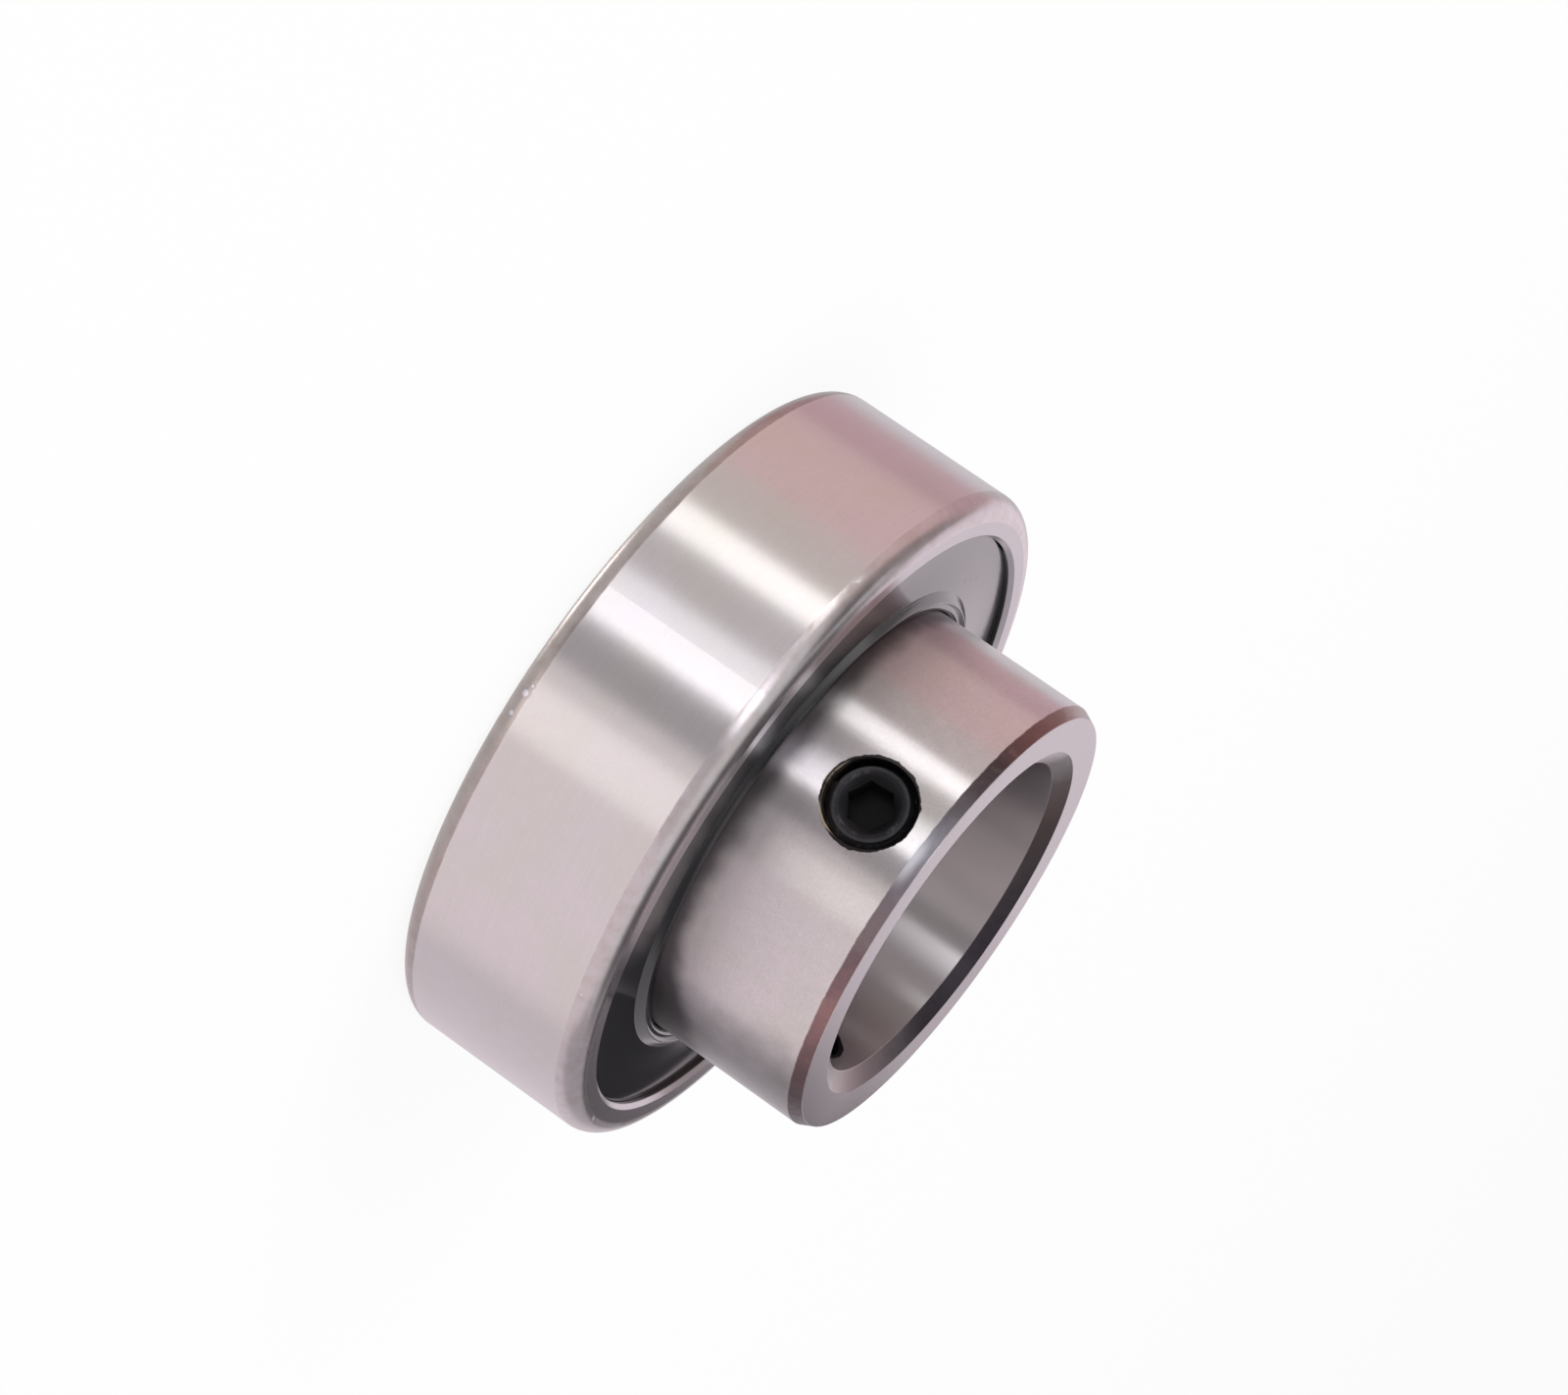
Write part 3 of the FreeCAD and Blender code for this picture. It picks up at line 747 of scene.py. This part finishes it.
def addThread(shape, look):  # one ridge that dies out on the chamfers at both ends
    before = set(shape.verts)
    corners = [(radius, 0, look["threadStart"] + along) for radius, along in look["ridgeSection"]]
    section = [shape.verts.new(corner) for corner in corners]
    outline = [shape.edges.new(pair) for pair in zip(section, section[1:] + section[:1])]
    bmesh.ops.spin(
        shape, geom=section + outline, cent=(0, 0, 0), axis=(0, 0, 1),
        dvec=(0, 0, look["pitch"] / look["threadSteps"]),
        angle=-2 * math.pi * look["threadTurns"],
        steps=int(look["threadSteps"] * look["threadTurns"]),
        use_merge=False, use_duplicate=False,
    )
    faceRadius, slope = look["outerChamfer"]
    pointRadius, point = look["pointChamfer"]
    for corner in [vert for vert in shape.verts if vert not in before]:
        top = faceRadius + (look["faceEnd"] - corner.co.z) * slope
        limit = min(look["crest"], top, pointRadius + corner.co.z - point)
        if corner.co.xy.length > limit:
            corner.co.xy *= limit / corner.co.xy.length
    ends = [edge for edge in shape.edges if edge.is_boundary]
    bmesh.ops.holes_fill(shape, edges=ends, sides=6)


def makeScrewShape(look, turn):  # made along Z, then laid along the hole
    shape = bmesh.new()
    rimEdges = addSocket(shape, look)
    edges = carryLoop(shape, rimEdges, look["leadRadius"], look["outside"])
    made = bmesh.ops.extrude_edge_only(shape, edges=edges)["geom"]
    cup = [part for part in made if isVert(part)]
    bmesh.ops.pointmerge(shape, verts=cup, merge_co=(0, 0, look["cupFloor"]))
    addThread(shape, look)
    laid = Matrix(((0, 0, 1), (0, -1, 0), (1, 0, 0))).to_4x4()  # its axis now lies along X
    lifted = Matrix.Translation((0, 0, look["height"]))
    laid = Matrix.Rotation(math.radians(turn), 4, "Z") @ lifted @ laid
    bmesh.ops.transform(shape, matrix=laid, verts=shape.verts)
    return shape


def makeBlackOxide(look):
    material, tree = startMaterial("screwBlackOxide")
    at = ringPlaces(tree)
    patch = noise(tree, at["place"], *look["patch"])
    fine = noise(tree, at["place"], *look["fine"])
    near = [holeDistance(tree, at, turn, look["height"])[:2] for turn in look["turns"].values()]
    (firstAway, firstAlong), (otherAway, otherAlong) = near
    away = calc(tree, "MINIMUM", firstAway, otherAway)
    along = either(tree, firstAlong, otherAlong)
    below = fall(tree, along, *look["socketHeight"])
    socket = both(tree, fall(tree, away, *look["socketRadius"]), below)
    # painted shade deep in the socket, not metal
    deep = rise(tree, away, *look["deepRadius"])
    deep = both(tree, socket, spread(tree, deep, 1.0, look["leadDepth"]))
    ringWear = both(tree, band(tree, away, *look["wornRing"]), patch)
    wearAndSheen = either(tree, rise(tree, patch, *look["wornPatch"]), ringWear)
    wearAndSheen = both(tree, wearAndSheen, calc(tree, "SUBTRACT", 1.0, socket))
    color = blendColor(tree, wearAndSheen, rgba(look["color"]), rgba(look["wearAndSheenColor"]))
    finishPrincipled(tree, {
        "Base Color": blendColor(tree, deep, color, rgba(look["deepShadeColor"])),
        "Metallic": spread(tree, deep, look["metallic"], 0.0),
        "Specular IOR Level": look["specular"],
        "Roughness": spread(tree, fine, *look["rough"]),
        "Normal": bumpNormal(tree, fine, *look["bump"]),
    })
    return material


blackOxide = makeBlackOxide(setScrew)
for name, turn in setScrew["turns"].items():
    dress(name, blackOxide)
    shape = makeScrewShape(setScrew, turn)
    body = setScrew["bodies"][name]
    threaded = newPiece(f"{name}_threaded", shape, blackOxide, body, setScrew["sharp"])
    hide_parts(name)
print("stage 5: set screws finished")

# balls and cage, hidden behind the seals

balls = {
    "color": (0.66, 0.65, 0.66),
    "stainAndShade": (0.66, 0.65, 0.66),
    "rough": (0.048, 0.078),
    "bump": (0.3, 0.000001),
}
cage = {
    "color": (0.42, 0.40, 0.38),
    "stainAndShade": (0.28, 0.25, 0.22),
    "rough": (0.304, 0.494),
    "bump": (0.3, 0.00001),
}
insideNoise = {"patch": (0.8, 4.0, 0.6), "fine": (7.0, 2.0, 0.6), "stained": (0.4, 0.75)}


def makeInsideSteel(name, look):
    material, tree = startMaterial(name)
    at = ringPlaces(tree)
    patch = noise(tree, at["place"], *insideNoise["patch"])
    fine = noise(tree, at["place"], *insideNoise["fine"])
    stained = rise(tree, patch, *insideNoise["stained"])
    finishPrincipled(tree, {
        "Base Color": blendColor(tree, stained, rgba(look["color"]), rgba(look["stainAndShade"])),
        "Metallic": 1.0,
        "Roughness": spread(tree, patch, *look["rough"]),
        "Normal": bumpNormal(tree, fine, *look["bump"]),
    })
    return material


ballSteel = makeInsideSteel("ballSteel", balls)
cageSteel = makeInsideSteel("cageSteel", cage)
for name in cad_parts:
    if name.startswith("ball_"):
        dress(name, ballSteel)
    if name.startswith("cage_"):
        dress(name, cageSteel)
print("stage 6: balls and cage finished")

# floor under the bearing's back face

floorLook = {
    "size": 4.0,
    "sides": 96,
    "height": -0.0075,
    "color": (0.93, 0.93, 0.935),
    "cloud": (6.0, 3.0, 0.5),
    "shade": (0.99, 1.01),
    "white": 0.9,  # how much of it the camera sees as plain white
}


def seenDirectly(tree):  # camera, glossy and transmission rays
    path = addNode(tree, "ShaderNodeLightPath").outputs
    glossy = either(tree, path["Is Camera Ray"], path["Is Glossy Ray"])
    return either(tree, glossy, path["Is Transmission Ray"])


def makeFloor(look):
    material, tree = startMaterial("paleFloor")
    spot = addNode(tree, "ShaderNodeTexCoord").outputs["Object"]
    cloud = spread(tree, noise(tree, spot, *look["cloud"]), *look["shade"])
    matt = addNode(tree, "ShaderNodeBsdfDiffuse", {
        "Color": brighten(tree, cloud, rgba(look["color"])),
    })
    white = addNode(tree, "ShaderNodeEmission", {"Color": plainWhite, "Strength": 1.0})
    share = both(tree, seenDirectly(tree), look["white"])
    inputs = {0: share, 1: matt.outputs[0], 2: white.outputs[0]}
    finishMaterial(tree, addNode(tree, "ShaderNodeMixShader", inputs))
    shape = bmesh.new()
    bmesh.ops.create_circle(shape, cap_ends=True, segments=look["sides"], radius=look["size"])
    bmesh.ops.translate(shape, verts=shape.verts, vec=(0, 0, look["height"]))
    floor = linkShape("floor", shape, material)
    floor.visible_glossy = False


makeFloor(floorLook)
print("stage 7: floor laid")

# studio: pale world, two soft lamps, and panels round the bearing that only gloss sees

worldLook = {"color": (1.0, 1.0, 1.0), "seen": 1.0, "fill": 0.62}
lamps = {
    "keyLamp": {"place": (0.42, -0.38, 0.45), "size": 0.35, "level": 0.30},
    "topLamp": {"place": (-0.10, 0.12, 0.75), "size": 0.45, "level": 0.22},
}
panels = {  # turn, width, low and high in degrees seen from the bearing, glow
    "keyStripLow": (-41.0, 11.0, -43.0, -12.0, (0.9, 0.9, 0.88)),
    "keyStrip": (-41.0, 11.0, -12.0, 12.0, (4.0, 4.02, 3.95)),
    "greyGap": (-27.75, 15.5, -43.0, 43.0, (0.72, 0.68, 0.68)),
    "coolBoxLow": (-11.1, 17.8, -43.0, 0.0, (1.3, 1.3, 1.35)),
    "coolBox": (-17.0, 6.0, 0.0, 36.0, (1.9, 1.9, 2.0)),
    "coolMain": (-9.5, 9.0, 0.0, 36.0, (3.4, 3.4, 3.55)),
    "coolEdge": (-3.6, 2.8, 0.0, 36.0, (6.4, 6.4, 6.5)),
    "cameraShade": (5.9, 16.2, -43.0, 43.0, (0.42, 0.40, 0.41)),
    "shadeEdge": (18.0, 8.0, -43.0, -14.0, (1.15, 1.08, 1.07)),
    "warmBox": (31.0, 18.0, -43.0, -14.0, (2.2, 2.08, 2.05)),
    "warmGap": (27.0, 26.0, -14.0, 43.0, (0.80, 0.75, 0.76)),
    "softWall": (76.5, 73.0, -43.0, 43.0, (1.07, 0.97, 1.0)),
    "dimWall": (151.15, 76.3, -43.0, 8.0, (0.90, 0.83, 0.88)),
    "dimWallTop": (145.5, 65.0, 8.0, 43.0, (0.55, 0.52, 0.55)),
    "darkWall": (183.35, 10.7, 8.0, 43.0, (0.055, 0.051, 0.055)),
    "beigeWall": (-57.5, 20.0, -43.0, 24.0, (0.86, 0.78, 0.745)),
    "pinkWall": (-86.0, 37.0, -43.0, 24.0, (0.94, 0.70, 0.69)),
    "rosyWall": (-118.0, 27.0, -43.0, 24.0, (0.72, 0.50, 0.535)),
    "leftTop": (-89.5, 84.0, 24.0, 48.0, (0.42, 0.37, 0.37)),
    "hazeWall": (-151.4, 39.8, -43.0, 2.0, (0.74, 0.72, 0.75)),
    "paleWall": (-151.4, 39.8, 2.0, 43.0, (1.19, 1.07, 1.14)),
}
discs = {  # the way to the disc, how far it is, its radius, glow
    "ceiling": ((-0.42, 0.0, 0.908), 0.95, 0.64, (0.12, 0.115, 0.125)),
    "rimShade": ((0.15, -0.54, 0.83), 0.95, 0.26, (0.06, 0.055, 0.06)),
    "backBox": ((-0.19, -0.19, -0.96), 0.75, 0.12, (7.5, 7.4, 7.2)),
}
panelForm = {"distance": 0.75, "steps": 12, "discSides": 48, "discCore": 0.6}


def makeWorld(look):
    world = bpy.data.worlds.new("paleStudio")
    bpy.context.scene.world = world
    world.use_nodes = True
    tree = world.node_tree
    tree.nodes.clear()
    strength = spread(tree, seenDirectly(tree), look["fill"], look["seen"])
    inputs = {"Color": rgba(look["color"]), "Strength": strength}
    sky = addNode(tree, "ShaderNodeBackground", inputs)
    out = addNode(tree, "ShaderNodeOutputWorld")
    tree.links.new(sky.outputs[0], out.inputs["Surface"])


def makeLamp(name, look):
    lamp = bpy.data.lights.new(name, "AREA")
    lamp.shape = "DISK"
    lamp.size = look["size"]
    place = Vector(look["place"])
    lamp.energy = look["level"] * math.pi * math.pi * place.length_squared
    holder = bpy.data.objects.new(name, lamp)
    bpy.context.scene.collection.objects.link(holder)
    holder.location = place
    holder.rotation_euler = place.to_track_quat("Z", "Y").to_euler()
    holder.visible_camera = False
    holder.visible_glossy = False


def makeGlow(name, glow, share=None):  # share tells where the panel covers what is behind it
    material, tree = startMaterial(name)
    shader = addNode(tree, "ShaderNodeEmission", {"Color": rgba(glow), "Strength": 1.0})
    if share:
        clear = addNode(tree, "ShaderNodeBsdfTransparent")
        inputs = {0: share(tree), 1: clear.outputs[0], 2: shader.outputs[0]}
        shader = addNode(tree, "ShaderNodeMixShader", inputs)
    finishMaterial(tree, shader)
    material.cycles.emission_sampling = "NONE"
    return material


def placePanel(name, shape, material):
    panel = linkShape(name, shape, material)
    panel.visible_camera = False
    panel.visible_diffuse = False
    panel.visible_shadow = False


def makePanel(name, form, turn, width, low, high, glow):  # part of a cylinder round the bearing
    start = math.radians(turn - width / 2)
    reach = form["distance"]
    place = (reach * math.cos(start), reach * math.sin(start))
    shape = bmesh.new()
    foot = shape.verts.new((*place, reach * math.tan(math.radians(low))))
    top = shape.verts.new((*place, reach * math.tan(math.radians(high))))
    edge = shape.edges.new((foot, top))
    bmesh.ops.spin(
        shape, geom=[foot, top, edge], cent=(0, 0, 0), axis=(0, 0, 1), dvec=(0, 0, 0),
        angle=math.radians(width), steps=form["steps"], use_merge=False, use_duplicate=False,
    )
    placePanel(name, shape, makeGlow(name, glow))


def makeDisc(name, form, way, reach, radius, glow):
    toward = Vector(way).normalized()
    middle = toward * reach

    def share(tree):  # soft towards the edge
        spot = addNode(tree, "ShaderNodeTexCoord").outputs["Object"]
        away = distance(tree, spot, tuple(middle))
        return fall(tree, away, radius * form["discCore"], radius)

    facing = toward.to_track_quat("Z", "X").to_matrix().to_4x4()
    shape = bmesh.new()
    bmesh.ops.create_circle(shape, cap_ends=True, segments=form["discSides"], radius=radius)
    bmesh.ops.transform(shape, verts=shape.verts, matrix=Matrix.Translation(middle) @ facing)
    placePanel(name, shape, makeGlow(name, glow, share))


makeWorld(worldLook)
for name, look in lamps.items():
    makeLamp(name, look)
for name, panel in panels.items():
    makePanel(name, panelForm, *panel)
for name, disc in discs.items():
    makeDisc(name, panelForm, *disc)
print("stage 8: studio lit")

# camera, fitted to the circles of the bearing

cameraLook = {
    "place": (0.36015, 0.07420, 0.10100),
    "right": (-0.08715, -0.60132, 0.79424),
    "up": (0.32512, -0.77079, -0.54789),
    "lens": 128.16,
    "sensor": 36.0,
    "clip": (0.01, 20.0),
}


def makeCamera(look):
    data = bpy.data.cameras.new("photoCamera")
    data.lens = look["lens"]
    data.sensor_width = look["sensor"]
    data.sensor_fit = "HORIZONTAL"
    data.clip_start, data.clip_end = look["clip"]
    camera = bpy.data.objects.new("photoCamera", data)
    bpy.context.scene.collection.objects.link(camera)
    right = Vector(look["right"]).normalized()
    back = right.cross(Vector(look["up"])).normalized()
    up = back.cross(right)
    turn = Matrix((right, up, back)).transposed().to_4x4()
    camera.matrix_world = Matrix.Translation(look["place"]) @ turn
    bpy.context.scene.camera = camera


makeCamera(cameraLook)
bpy.context.scene.view_settings.view_transform = "Standard"
print("stage 9: camera set")
